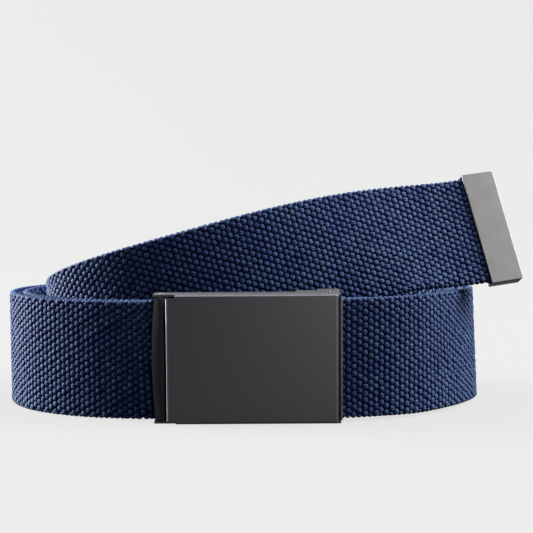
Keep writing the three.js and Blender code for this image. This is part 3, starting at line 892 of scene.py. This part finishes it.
def cleaned_copy(node, eased_edges):
    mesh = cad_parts[node].data.copy()
    mesh.name = node + "_finished"
    bm = bmesh.new()
    bm.from_mesh(mesh)
    bmesh.ops.remove_doubles(bm, verts=bm.verts, dist=MERGE_DISTANCE * MM)
    bmesh.ops.dissolve_limit(bm, angle_limit=FLAT_WITHIN, verts=bm.verts, edges=bm.edges)
    for test, rounding in eased_edges:
        edges = [edge for edge in bm.edges if test(edge)]
        shape = {"offset": rounding * MM, "segments": EASED_SEGMENTS, "profile": 0.5}
        bmesh.ops.bevel(bm, geom=edges, affect="EDGES", **shape)
        print(node, "eased edges:", len(edges))
    bm.to_mesh(mesh)
    bm.free()
    if "custom_normal" in mesh.attributes:
        mesh.attributes.remove(mesh.attributes["custom_normal"])
    return mesh


# %% Round every sharp edge
SHARP_ANGLE = math.radians(30)
EDGE_SEGMENTS = 2
FLAT_FACE_WEIGHT = 100


def rounded_copy(node, material, width, eased_edges):
    mesh = cleaned_copy(node, eased_edges)
    mesh.shade_smooth()
    mesh.set_sharp_from_angle(angle=SHARP_ANGLE)
    piece = link(bpy.data.objects.new(node + "_finished", mesh))
    bevel = piece.modifiers.new("edges", "BEVEL")
    bevel.width = width * MM
    bevel.segments = EDGE_SEGMENTS
    bevel.limit_method = "ANGLE"
    bevel.angle_limit = SHARP_ANGLE
    bevel.use_clamp_overlap = True
    weighted = piece.modifiers.new("flat faces", "WEIGHTED_NORMAL")
    weighted.weight = FLAT_FACE_WEIGHT
    weighted.keep_sharp = True
    evaluated = piece.evaluated_get(bpy.context.evaluated_depsgraph_get())
    finished = bpy.data.meshes.new_from_object(evaluated)
    piece.modifiers.clear()
    piece.data = finished
    finished.materials.clear()
    finished.materials.append(material)
    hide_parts(node)
    return piece


# %% [markdown]
# ## Metals
# The buckle is pressed steel with a dark satin gunmetal coat, which shows a soft gradient and hardly any
# grain. The jaw and the clamp are darker; the clamp's near-black colour is painted shade, as its front lies
# just behind the plate. The pins are plain steel, and the tip is bare and brushed across the strap. A metal's
# look is mostly its roughness, so each gets its own from fine noise, with slow clouds mixed in. The noise's
# spots are round on the coat and drawn out along the brushing on the tip.

# %% Noise for metals
NOISE_LOW, NOISE_HIGH = 0.3, 0.7


def stretched_noise(tree, spot, turn=(0, 0, 0), detail=4.0):
    """Noise whose spots are as long as the three lengths, in mm."""
    size = [length_mm * MM for length_mm in spot]
    inputs = {"Vector": object_place(tree), "Rotation": turn, "Scale": size}
    mapping = add(tree, "ShaderNodeMapping", vector_type="TEXTURE", inputs=inputs)
    return noise(tree, mapping.outputs[0], 1.0, detail)


def spread(tree, value, low, high):
    """Noise, which keeps near its middle, stretched to run from one value to another."""
    inputs = {"Value": value, "From Min": NOISE_LOW, "From Max": NOISE_HIGH, "To Min": low, "To Max": high}
    return add(tree, "ShaderNodeMapRange", inputs=inputs).outputs[0]


def toned(colour, factor):
    return [channel * factor for channel in colour] + [1]


# %% A metal material
CLOUD = (4.0, 4.0, 4.0)
CLOUD_DETAIL = 3.0
MICRON = 0.001


def metal(name, colour, roughness, spot, turn=(0, 0, 0), variation=0.06, grain=0.03, depth=5.0):
    """A metal whose fine grain varies its colour, its roughness and, by a few microns, its height."""
    material, tree, shader = new_material(name)
    level = stretched_noise(tree, spot, turn)
    clouds = stretched_noise(tree, CLOUD, detail=CLOUD_DETAIL)
    both = calculate(tree, "MULTIPLY_ADD", level, 0.5, calculate(tree, "MULTIPLY", clouds, 0.5))
    tree.links.new(spread(tree, both, roughness - grain, roughness + grain), shader.inputs["Roughness"])
    shade = between(tree, both, toned(colour, 1 - 2 * variation), toned(colour, 1 + 2 * variation))
    tree.links.new(shade, shader.inputs["Base Color"])
    raise_bumps(tree, shader, level, depth * MICRON)
    set_shader(shader, {"Metallic": 1.0})
    return material, tree, shader


# %% [markdown]
# ## Wear, painted highlights and painted shade
# The shell's top and bottom rims are rubbed: the dark coat is worn thin where the sheet is turned over, so
# they are duller than the plate. The plate's upright edges and the clamp's lip get a painted highlight, a
# lighter colour where their rounds catch the side lights. The jaw's flank beside the strap gets painted
# shade, a near-black colour on the side that faces the left light. These could be painted by hand, but a ramp
# on the Object coordinates is exact, and streaks of noise break the rubbed rims and the painted highlights
# up.

# %% A share that changes where a coordinate passes a line
X, Y, Z = range(3)


def ramp(tree, axis, start, end):
    """0 on one side of a place in the drawing and 1 on the other, along one axis, in mm."""
    value = parts_of(tree, object_place(tree))[axis]
    low, high = [place(mm, mm, mm)[axis] for mm in (start, end)]
    inputs = {"Value": value, "From Min": low, "From Max": high}
    return add(tree, "ShaderNodeMapRange", inputs=inputs).outputs[0]


def recolour(tree, shader, share, colour):
    plain = shader.inputs["Base Color"].links[0].from_socket
    tree.links.new(between(tree, share, plain, colour), shader.inputs["Base Color"])


# %% Wear and painted highlights
WEAR_OR_HIGHLIGHT_STREAK = (3.0, 0.35, 3.0)
LEAST_WEAR_OR_HIGHLIGHT = 0.7


def rub_or_highlight(tree, shader, shares, colour, duller):
    """Mixes a worn colour or a painted highlight, and a duller finish, in where any of the shares is 1."""
    share = shares[0]
    for other in shares[1:]:
        share = calculate(tree, "MAXIMUM", share, other)
    streaks = spread(tree, stretched_noise(tree, WEAR_OR_HIGHLIGHT_STREAK), LEAST_WEAR_OR_HIGHLIGHT, 1.0)
    wear_or_highlight = calculate(tree, "MULTIPLY", share, streaks)
    recolour(tree, shader, wear_or_highlight, colour)
    smooth = shader.inputs["Roughness"].links[0].from_socket
    tree.links.new(calculate(tree, "MULTIPLY_ADD", wear_or_highlight, duller, smooth), shader.inputs["Roughness"])


# %% Gunmetal of the shell
GUNMETAL = (0.112, 0.11, 0.115)
RUBBED = (0.074, 0.074, 0.079, 1)
PAINTED_EDGE_HIGHLIGHT = (0.20, 0.20, 0.225, 1)
RIM_DULLER = 0.3
EDGE_DULLER = 0.05
TOP_RIM = (42.0, 42.4)
BOTTOM_RIM = (0.5, 0.1)
FRONT_OF_SHEET = (0.9, 0.6)
LEFT_EDGE = (PLATE_LEFT + 1.0, PLATE_LEFT + 0.4)
RIGHT_EDGE = (PLATE_RIGHT - 0.8, PLATE_RIGHT - 0.3)

gunmetal, gun_tree, gun_shader = metal(
    "satin_gunmetal", GUNMETAL, roughness=0.38, spot=(0.3, 0.3, 0.3), variation=0.02, grain=0.015, depth=1.0
)
rims = [ramp(gun_tree, Z, *TOP_RIM), ramp(gun_tree, Z, *BOTTOM_RIM)]
rub_or_highlight(gun_tree, gun_shader, rims, RUBBED, RIM_DULLER)
# Painted highlight: a lighter colour down the front of the plate's two upright edges, where their rounds
# catch the side lights.
front_only = ramp(gun_tree, Y, *FRONT_OF_SHEET)
sides = [ramp(gun_tree, X, *edge) for edge in (LEFT_EDGE, RIGHT_EDGE)]
painted_highlight_edges = [calculate(gun_tree, "MULTIPLY", front_only, side) for side in sides]
rub_or_highlight(gun_tree, gun_shader, painted_highlight_edges, PAINTED_EDGE_HIGHLIGHT, EDGE_DULLER)
print("material:", gunmetal.name)

# %% Dark gunmetal of the jaw and the bar, with painted shade on the jaw's flank
DARK_GUNMETAL = (0.05, 0.05, 0.053)
PAINTED_FLANK_SHADE = (0.017, 0.017, 0.0175, 1)
FAINT_RIM_GLOSS = (0.1, 0.1, 0.1, 1)
JAW_FLANK = (-34.6, -36.4)

jaw_metal, jaw_tree, jaw_shader = metal(
    "dark_gunmetal", DARK_GUNMETAL, roughness=0.62, spot=(0.6, 0.6, 3.0)
)
# Painted shade: the jaw's flank, on the side towards the left light, is made near black.
recolour(jaw_tree, jaw_shader, ramp(jaw_tree, X, *JAW_FLANK), PAINTED_FLANK_SHADE)
set_shader(jaw_shader, {"Specular Tint": FAINT_RIM_GLOSS})
print("material:", jaw_metal.name)

# %% The clamp, the pins and the brushed tip
# The clamp's dark colour is painted shade: its front lies just behind the plate, in the plate's shade.
CLAMP_SHADED_GUNMETAL = (0.03, 0.03, 0.032)
PIN_STEEL = (0.12, 0.12, 0.125)
BRUSHED_STEEL = (0.121, 0.118, 0.117)
CLAMP_LIP = (CLAMP_RIGHT - 0.6, CLAMP_RIGHT - 0.35)

clamp_metal, clamp_tree, clamp_shader = metal(
    "clamp_shaded_gunmetal", CLAMP_SHADED_GUNMETAL, roughness=0.3, spot=(0.5, 0.5, 5.0)
)
# Painted highlight: a lighter colour along the clamp's lip.
rub_or_highlight(clamp_tree, clamp_shader, [ramp(clamp_tree, X, *CLAMP_LIP)], PAINTED_EDGE_HIGHLIGHT, EDGE_DULLER)
pin_steel = metal("pin_steel", PIN_STEEL, roughness=0.5, spot=(0.5, 0.5, 0.5))[0]

tip_ways = [look_up(values, [tip_mouth])[0] for values in (along, across, out)]
tip_turn = Matrix(tip_ways).transposed().to_euler()
brushed = metal(
    "brushed_tip", BRUSHED_STEEL, roughness=0.5, spot=(0.25, 7.0, 0.25), turn=tip_turn, variation=0.09
)[0]
print("metals:", [material.name for material in (clamp_metal, pin_steel, brushed)])

# %% Buckle, jaw, pins, clamp and tip
Finish = namedtuple("Finish", "node material slot body edge eased_edges")
FINISHES = [
    Finish("buckle_shell", gunmetal, "buckle", "belt", 0.12, plate_edges),
    Finish("locking_jaw", jaw_metal, "jaw", "jaw", 0.12, []),
    Finish("jaw_pin", pin_steel, "hardware", "belt", 0.06, []),
    Finish("clamp_pin", pin_steel, "hardware", "belt", 0.06, []),
    Finish("back_bar", jaw_metal, "jaw", "belt", 0.15, []),
    Finish("end_clamp", clamp_metal, "hardware", "belt", 0.08, clamp_edge),
    Finish("belt_tip", brushed, "tip", "belt", 0.08, []),
]
for finish in FINISHES:
    piece = rounded_copy(finish.node, finish.material, finish.edge, finish.eased_edges)
    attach(piece, finish.body)
    print(finish.node, "triangles", triangles(piece))

# %% [markdown]
# ## Floor
# The picture is a studio shot on a pale ground. The floor runs up into a curved backdrop, so no edge shows.
# White paper would throw light back at the belt from all sides and flatten it. So this paper is nearly
# black to the lights. Through a Light Path node it glows for the camera, glows less in reflections, and
# lights nothing else.

# %% Floor and backdrop, in mm
FLOOR_FRONT = -5000
FLOOR_BACK = 700
BACKDROP_RADIUS = 500
BACKDROP_TOP = 2200
BACKDROP_STEPS = 12
FLOOR_HALF_WIDTH = 5000


def backdrop():
    profile = [(FLOOR_FRONT, 0), (FLOOR_BACK, 0)]
    for i in range(1, BACKDROP_STEPS + 1):
        turn = math.radians(90 * i / BACKDROP_STEPS)
        back, up = BACKDROP_RADIUS * math.sin(turn), BACKDROP_RADIUS * (1 - math.cos(turn))
        profile.append((FLOOR_BACK + back, up))
    profile.append((FLOOR_BACK + BACKDROP_RADIUS, BACKDROP_TOP))
    mesh = bpy.data.meshes.new("floor")
    points = [place(x, y, z) for y, z in profile for x in (-FLOOR_HALF_WIDTH, FLOOR_HALF_WIDTH)]
    faces = [(2 * i, 2 * i + 1, 2 * i + 3, 2 * i + 2) for i in range(len(profile) - 1)]
    mesh.from_pydata(points, [], faces)
    mesh.shade_smooth()
    return link(bpy.data.objects.new("floor", mesh))


floor = backdrop()
print("floor faces:", len(floor.data.polygons))

# %% Paper
PAPER_FINISH = {
    "Base Color": (0.025, 0.025, 0.025, 1),
    "Roughness": 0.9,
    "Specular IOR Level": 0.0,
    "Emission Color": (1, 1, 1.005, 1),
}
GLOW_FOR_CAMERA = 0.6
GLOW_IN_METAL = 0.24

paper, paper_tree, paper_shader = new_material("pale_paper")
set_shader(paper_shader, PAPER_FINISH)
rays = add(paper_tree, "ShaderNodeLightPath").outputs
for_camera = calculate(paper_tree, "MULTIPLY", rays["Is Camera Ray"], GLOW_FOR_CAMERA)
glow = calculate(paper_tree, "MULTIPLY_ADD", rays["Is Glossy Ray"], GLOW_IN_METAL, for_camera)
paper_tree.links.new(glow, paper_shader.inputs["Emission Strength"])
floor.data.materials.append(paper)
print("material:", paper.name)

# %% [markdown]
# ## Light
# Two large soft lights stand left and right, so that the turns of the coil are bright and the front is
# darker. A third one above lights the buckle's top flange. The two in front are weak: the plate mirrors the
# strip as its soft gradient, and the card brightens the leaning tip. An azimuth is measured from the
# buckle's front towards the right, and an elevation up from the floor.

# %% Soft lights, in degrees, mm and watts
Light = namedtuple("Light", "name azimuth elevation away width height watts")
LIGHTS = [
    Light("left_softbox", -107, 21, 1500, 700, 900, 115),
    Light("right_softbox", 95, 33, 1500, 800, 800, 74),
    Light("top_softbox", 180, 75, 1800, 2200, 2000, 65),
    Light("high_card", 32, 50, 1200, 850, 850, 2.8),
    Light("low_strip", 16, 5, 700, 200, 90, 0.45),
]
AIM = place(0, 0, 3)


def soft_light(light):
    data = bpy.data.lights.new(light.name, "AREA")
    data.shape = "RECTANGLE"
    data.size = light.width * MM
    data.size_y = light.height * MM
    data.energy = light.watts
    lamp = link(bpy.data.objects.new(light.name, data))
    lamp.visible_camera = False
    azimuth, elevation = math.radians(light.azimuth), math.radians(light.elevation)
    flat = math.cos(elevation)
    away = Vector((math.sin(azimuth) * flat, -math.cos(azimuth) * flat, math.sin(elevation)))
    lamp.location = AIM + away * light.away * MM
    lamp.rotation_euler = away.to_track_quat("Z", "Y").to_euler()


for light in LIGHTS:
    soft_light(light)
print("lights:", [light.name for light in LIGHTS])

# %% [markdown]
# The sky is white to the camera, as the paper is. For all else it is a faint blue fill, which keeps the
# shadows between the turns navy and not black.

# %% Sky and view
SKY_FOR_CAMERA = 0.65
SKY_FILL = 0.08
FILL_BLUE = (0.18, 0.36, 1, 1)
WHITE = (1, 1, 1, 1)

world = bpy.data.worlds.new("studio")
world.use_nodes = True
sky_tree = world.node_tree
sky = sky_tree.nodes["Background"]
seen = add(sky_tree, "ShaderNodeLightPath").outputs["Is Camera Ray"]
strength = calculate(sky_tree, "MULTIPLY_ADD", seen, SKY_FOR_CAMERA - SKY_FILL, SKY_FILL)
sky_tree.links.new(strength, sky.inputs["Strength"])
sky_tree.links.new(between(sky_tree, seen, FILL_BLUE, WHITE), sky.inputs["Color"])
bpy.context.scene.world = world
bpy.context.scene.view_settings.view_transform = "Standard"
bpy.context.scene.view_settings.look = "Medium High Contrast"
print("world:", world.name)
